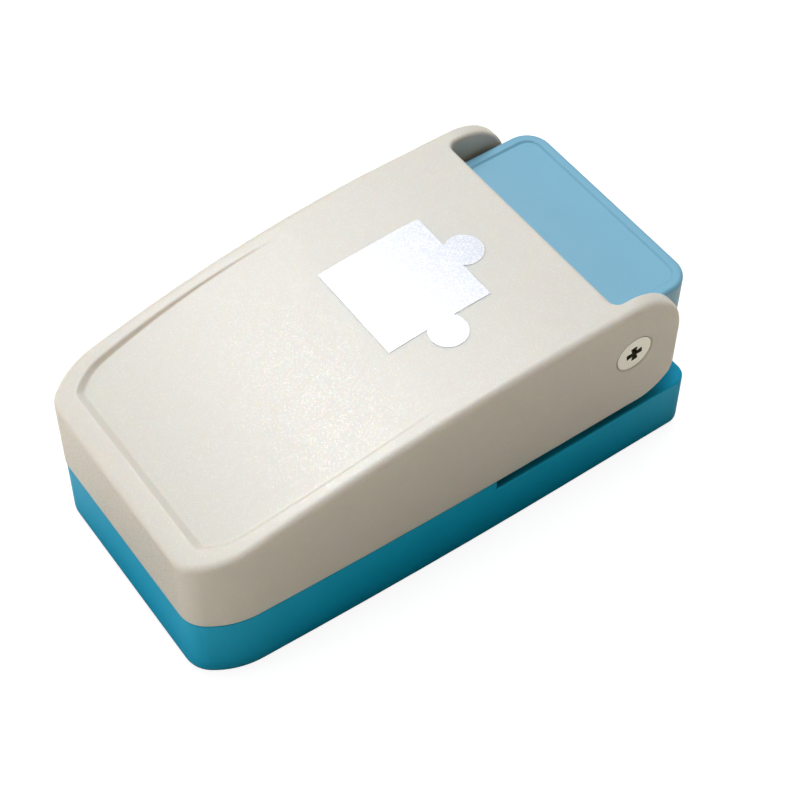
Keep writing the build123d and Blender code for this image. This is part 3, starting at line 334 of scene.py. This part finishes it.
for side, word in ((1, "right"), (-1, "left")):
    low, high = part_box("pivot_screw_" + word)
    face_x = high.x if side > 0 else -low.x
    tip_x = low.x if side > 0 else -high.x
    outline = [
        (tip_x, shank_radius - tip_chamfer), (tip_x + tip_chamfer, shank_radius),
        (collar_start_x, shank_radius), (collar_start_x, collar_radius),
        (face_x - head_depth, collar_radius), (face_x - 0.00016, head_radius - 0.00007),
        (face_x - 0.00005, head_radius), (face_x, head_radius - 0.00013),
    ]
    stand = Matrix.Translation((0, pivot_y, pivot_z)) @ Matrix.Rotation(side * math.pi / 2, 4, "Y")
    screw = cross_screw(
        "pivot_screw_head_" + word, outline, pivot_recess, pivot_recess_turn, [stand], painted,
        recess_painted_shade,
    )
    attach(screw, "base")
    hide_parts("pivot_screw_" + word)

# Pivot bushes and washers
# Natural nylon, turned on a lathe: a flanged bush pressed into each ear and a loose washer beside
# it. Fine tool marks run round them.
nylon = Finish("nylon", (0.78, 0.76, 0.70), 0.5)
nylon_cloud = nylon.noise(0.002, detail=3.0, roughness=0.6)
nylon.feed("Base Color", nylon.blend(nylon_cloud, (0.74, 0.72, 0.66), (0.82, 0.80, 0.75)))
nylon.bump(nylon.noise(0.0003, place=nylon.drawn_out(6, 1, 1)), depth=0.000006)
wear(nylon, "pivot_washers", "pivot_bush_left", "pivot_bush_right")

# Pivot inserts and guide bushes
# Brass, turned on a lathe, so fine rings run round each piece. The inserts are pressed into the
# housing and the bushes into the punch carrier.
brass = Finish("turned_brass", (0.75, 0.55, 0.25), 0.28, Metallic=1.0)
brass_rings = brass.noise(0.0002, place=brass.drawn_out(4, 1, 4))
brass.feed("Base Color", brass.blend(brass.noise(0.003), (0.72, 0.52, 0.22), (0.80, 0.60, 0.30)))
brass.feed("Roughness", 0.22 + brass_rings * 0.16)
brass.bump(brass_rings, depth=0.000004)
wear(brass, "pivot_inserts", "guide_bushes")

# Die set
# Tool steel plates, with the punch and its carrier, screwed together. All are surface-ground along
# Y, which leaves long fine lines.
steel = Finish("ground_steel", (0.56, 0.56, 0.57), 0.3, Metallic=1.0)
grinding = steel.noise(0.00025, detail=3.0, roughness=0.6, place=steel.drawn_out(1, 0.02, 1))
steel.feed("Base Color", steel.blend(grinding, (0.50, 0.50, 0.51), (0.62, 0.62, 0.63)))
steel.feed("Roughness", 0.22 + grinding * 0.2)
steel.bump(grinding, depth=0.000003)
wear(steel, "die_plate", "guide_plate", "throat_spacer", "punch", "punch_carrier")

# Guide posts and press bar
# Silver steel rod, polished and cut to length. The posts are pressed into the guide plate, and the
# bar lies across two ribs under the lever.
rod = Finish("polished_rod", (0.60, 0.60, 0.61), 0.16, Metallic=1.0)
rod_lines = rod.noise(0.0003, place=rod.drawn_out(3, 0.3, 0.3))
rod.feed("Roughness", 0.12 + rod_lines * 0.14)
rod.feed("Base Color", rod.blend(rod_lines, (0.56, 0.56, 0.57), (0.64, 0.64, 0.65)))
wear(rod, "guide_posts", "press_bar")

# Return springs
# Drawn spring wire, grey from its heat treatment, coiled round the guide posts. They lift the
# punch again after each stroke.
wire = Finish("spring_wire", (0.35, 0.34, 0.33), 0.32, Metallic=1.0)
wire_cloud = wire.noise(0.0012, detail=3.0, roughness=0.6)
wire.feed("Base Color", wire.blend(wire_cloud, (0.30, 0.29, 0.28), (0.42, 0.41, 0.40)))
wire.feed("Roughness", 0.26 + wire_cloud * 0.14)
wear(wire, "return_springs")

# Screws inside
# Zinc-plated steel, clear passivated, with the cloudy blue-grey look of the plating. They hold the
# die set together and the housing on the base.
zinc = Finish("zinc_plate", (0.62, 0.63, 0.64), 0.32, Metallic=1.0)
zinc_cloud = zinc.noise(0.0015, detail=3.0, roughness=0.6)
zinc.feed("Base Color", zinc.blend(zinc_cloud, (0.56, 0.58, 0.61), (0.68, 0.68, 0.67)))
zinc.feed("Roughness", 0.26 + zinc_cloud * 0.16)
zinc.bump(zinc.noise(0.0004), depth=0.000004)
wear(zinc, "die_screws", "die_set_screws", "guide_plate_screws", "punch_screws", "housing_screws")

# Cover screws
# Four zinc-plated flat-head screws with a Phillips recess, driven up through the cover into the
# base. Their heads lie half a millimetre above the feet's faces.
cover_screw_spots = ((-0.022, -0.0543), (0.022, -0.0543), (-0.0276, 0.0347), (0.0276, 0.0347))
cover_face = 0.0005
cover_tip = 0.0095
cover_neck = 0.0017
cover_shank = 0.0015
cover_head = 0.0026
cover_recess = (0.0014, 0.00042, 0.00052, 0.0008)
cover_recess_turn = 0.6
upside_down = Matrix.Rotation(math.pi, 4, "X")
cover_screw_places = [Matrix.Translation((x, y, 0.0)) @ upside_down for x, y in cover_screw_spots]
cover_outline = [
    (-cover_tip, cover_shank - 0.0006), (-cover_tip + 0.0007, cover_shank), (-cover_neck, cover_shank),
    (-cover_face - 0.00012, cover_head - 0.00006), (-cover_face, cover_head),
    (-cover_face, cover_head - 0.0001),
]
cover_screws = cross_screw(
    "cover_screw_heads", cover_outline, cover_recess, cover_recess_turn, cover_screw_places, zinc,
    recess_painted_shade,
)
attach(cover_screws, "base")
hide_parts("cover_screws")

# Rubber feet
# Four moulded black discs, glued into recesses of the cover. Each has a dished face inside a
# rounded rim, with a ring half way in.
foot_spots = ((-0.020, -0.0393), (0.020, -0.0393), (-0.022, 0.0543), (0.022, 0.0543))
foot_profile = [
    (0.0, 0.0015), (0.00495, 0.0015), (0.005, 0.00145), (0.005, 0.0004), (0.00488, 0.00012),
    (0.0046, 0.0), (0.0040, 0.0), (0.0038, 0.0002), (0.0031, 0.0002), (0.0029, 0.00005),
    (0.0024, 0.00005), (0.0020, 0.00025), (0.0, 0.00035),
]
rubber = Finish("foot_rubber", (0.02, 0.02, 0.02), 0.75)
rubber_dust = rubber.noise(0.0008, detail=3.0, roughness=0.6)
rubber.feed("Base Color", rubber.blend(rubber_dust, (0.012, 0.012, 0.012), (0.04, 0.04, 0.038)))
rubber.bump(rubber_dust, depth=0.00002)
feet_shape = bmesh.new()
for x, y in foot_spots:
    points = [feet_shape.verts.new((x + radius, y, height)) for radius, height in foot_profile]
    lines = [feet_shape.edges.new(pair) for pair in zip(points, points[1:])]
    bmesh.ops.spin(
        feet_shape, geom=points + lines, cent=(x, y, 0), axis=(0, 0, 1), angle=2 * math.pi, steps=48,
        use_merge=True,
    )
bmesh.ops.remove_doubles(feet_shape, verts=feet_shape.verts, dist=1e-7)
bmesh.ops.recalc_face_normals(feet_shape, faces=feet_shape.faces)
feet_mesh = bpy.data.meshes.new("moulded_feet")
feet_shape.to_mesh(feet_mesh)
feet_shape.free()
feet = bpy.data.objects.new("moulded_feet", feet_mesh)
bpy.context.scene.collection.objects.link(feet)
wear(rubber, "moulded_feet")
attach(feet, "base")
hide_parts("rubber_feet")

# Lock slider
# Cream moulding like the lever. Its hook stands up through the base. Four rounded ribs stand down
# from its finger pad, flush with the cover, to give the finger hold.
rib_count = 4
rib_size = (0.0096, 0.0011, 0.0006)
rib_pitch = 0.002
rib_start = 0.0088
rib_drop = 0.0001
rib_round = 0.00035
wear(cream, "lock_slider")
pad_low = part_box("lock_slider")[0]
grip_shape = bmesh.new()
for step in range(rib_count):
    rib = bmesh.ops.create_cube(grip_shape, size=1.0)["verts"]
    bmesh.ops.scale(grip_shape, vec=rib_size, verts=rib)
    middle = (0, pad_low.y + rib_start + step * rib_pitch, pad_low.z - rib_drop)
    bmesh.ops.translate(grip_shape, vec=middle, verts=rib)
under = pad_low.z - rib_size[2] / 2
lower_edges = [line for line in grip_shape.edges if min(corner.co.z for corner in line.verts) < under]
bmesh.ops.bevel(
    grip_shape, geom=lower_edges, offset=rib_round, affect="EDGES", segments=3, profile=0.5, material=-1,
    clamp_overlap=True,
)
bmesh.ops.recalc_face_normals(grip_shape, faces=grip_shape.faces)
grip_mesh = bpy.data.meshes.new("lock_grip_ribs")
grip_shape.to_mesh(grip_mesh)
grip_shape.free()
grips = bpy.data.objects.new("lock_grip_ribs", grip_mesh)
bpy.context.scene.collection.objects.link(grips)
wear(cream, "lock_grip_ribs")
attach(grips, "lock")

# Studio
# A white floor and a white dome, which are seen but light nothing, in faint warm light from all
# round. A warm card lies just under the floor. It has a painted shadow round the object, and
# throws the lamps' light back up on its sides.
card_paint = (0.95, 0.88, 0.76)
card_painted_shadow = (0.02, 0.02, 0.02)
card_height = -0.0004
painted_shadow_middle_y = 0.005
oval_scale = (18.5, 12.5)
studio_white = Finish(
    "studio_white", (0.3, 0.3, 0.3), 0.9, Emission_Color=(1, 1, 1, 1), Emission_Strength=0.9,
)
studio_white.feed("Roughness", 0.85 + studio_white.noise(0.3) * 0.1)
card = Finish("bounce_card", card_paint, 0.9)
card_x, card_y = card.split(card.place)[:2]
away_x = card_x * oval_scale[0]
away_y = (card_y - painted_shadow_middle_y) * oval_scale[1]
away = (away_x ** 2.0 + away_y ** 2.0) ** 0.5
# Painted shadow: the card is dark in an oval round the object.
card.feed("Base Color", card.blend(away.ramp(0.75, 1.4), card_painted_shadow, card_paint))
floor_shape = bmesh.new()
bmesh.ops.create_grid(floor_shape, x_segments=1, y_segments=1, size=6.0)
card_shape = floor_shape.copy()
bmesh.ops.translate(card_shape, vec=(0, 0, card_height), verts=card_shape.verts)
dome_shape = bmesh.new()
bmesh.ops.create_icosphere(dome_shape, subdivisions=5, radius=8.0)
bmesh.ops.reverse_faces(dome_shape, faces=dome_shape.faces)
for name, shape, paint in (
    ("studio_floor", floor_shape, studio_white),
    ("studio_card", card_shape, card),
    ("studio_dome", dome_shape, studio_white),
):
    sheet_mesh = bpy.data.meshes.new(name)
    shape.to_mesh(sheet_mesh)
    shape.free()
    sheet = bpy.data.objects.new(name, sheet_mesh)
    bpy.context.scene.collection.objects.link(sheet)
    wear(paint, name)
    if paint is studio_white:
        sheet.visible_diffuse = False
        sheet.visible_glossy = False
        sheet.visible_shadow = False

world = bpy.data.worlds.new("studio")
bpy.context.scene.world = world
world.use_nodes = True
world.node_tree.nodes["Background"].inputs["Color"].default_value = (1.0, 0.94, 0.85, 1.0)
world.node_tree.nodes["Background"].inputs["Strength"].default_value = 0.19


# Lamps and camera
# A large soft lamp high up at the far side, a small one beside it for the sheen on the lever's top
# alone, and a weaker one low at the front. The camera stands where the photo was taken from.
def softbox(name, place, target, size, power, colour):
    """A rectangular lamp at place, turned to target. Its second size is its height."""
    light = bpy.data.lights.new(name, "AREA")
    light.shape = "RECTANGLE"
    light.size, light.size_y = size
    light.energy = power
    light.color = colour
    lamp = bpy.data.objects.new(name, light)
    lamp.location = place
    lamp.rotation_euler = (Vector(target) - Vector(place)).to_track_quat("-Z", "Y").to_euler()
    bpy.context.scene.collection.objects.link(lamp)
    return lamp


softbox(
    "key_lamp", place=(-0.48, 0.14, 1.45), target=(0, 0, 0.02), size=(1.0, 1.2), power=19.6,
    colour=(0.92, 0.955, 1.0),
)
sheen_lamp = softbox(
    "sheen_lamp", place=(-0.74, 0.04, 1.45), target=(0.03, -0.03, 0.04), size=(0.25, 0.25), power=3.2,
    colour=(1.0, 0.99, 0.97),
)
sheen_lamp.visible_diffuse = False
softbox(
    "fill_lamp", place=(-0.35, -0.75, 0.30), target=(0, 0, 0.02), size=(0.5, 0.5), power=2.0,
    colour=(0.97, 0.98, 1.0),
)

camera = bpy.data.cameras.new("photo_camera")
camera.lens = 84.674
camera.sensor_width = 36.0
camera.clip_start = 0.01
viewer = bpy.data.objects.new("photo_camera", camera)
viewer.location = (0.212564, -0.149865, 0.35142)
viewer.rotation_euler = [math.radians(turn) for turn in (38.0529, -0.6291, 54.3874)]
bpy.context.scene.collection.objects.link(viewer)
bpy.context.scene.camera = viewer
bpy.context.scene.view_settings.view_transform = "Standard"
